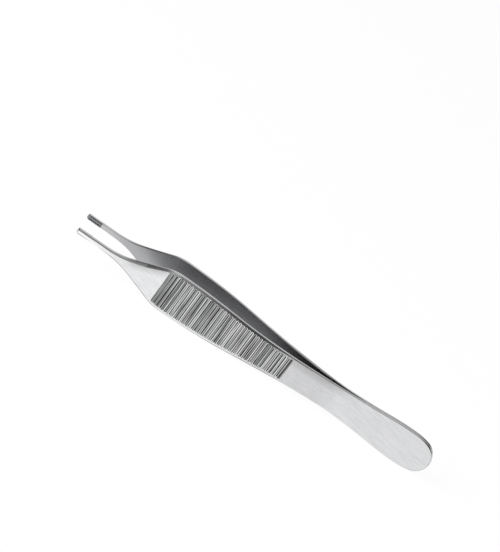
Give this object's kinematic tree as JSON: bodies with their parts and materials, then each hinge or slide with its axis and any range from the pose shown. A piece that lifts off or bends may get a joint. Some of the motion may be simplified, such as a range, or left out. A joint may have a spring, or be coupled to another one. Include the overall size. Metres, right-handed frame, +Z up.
{
  "type": "thumb forceps",
  "caption": "Fine-tipped thumb forceps: spring steel arms welded at the heel, a cross-ribbed grip and side-toothed tips that close on tissue.",
  "frame": {"origin": "middle of the length, on the plane where the arms meet, at the height of the surface that the forceps lie on", "axes": "+X from the tips to the heel, +Z up across the width of the arms as they lie on their side edges, +Y from the left arm to the right arm"},
  "size_m": [0.12, 0.0124, 0.013],
  "materials": {
    "satin_steel": "satin, fine lengthwise brushing"
  },
  "bodies": {
    "root": {"left_arm": "satin_steel", "right_arm": "satin_steel"}
  },
  "joints": []
}
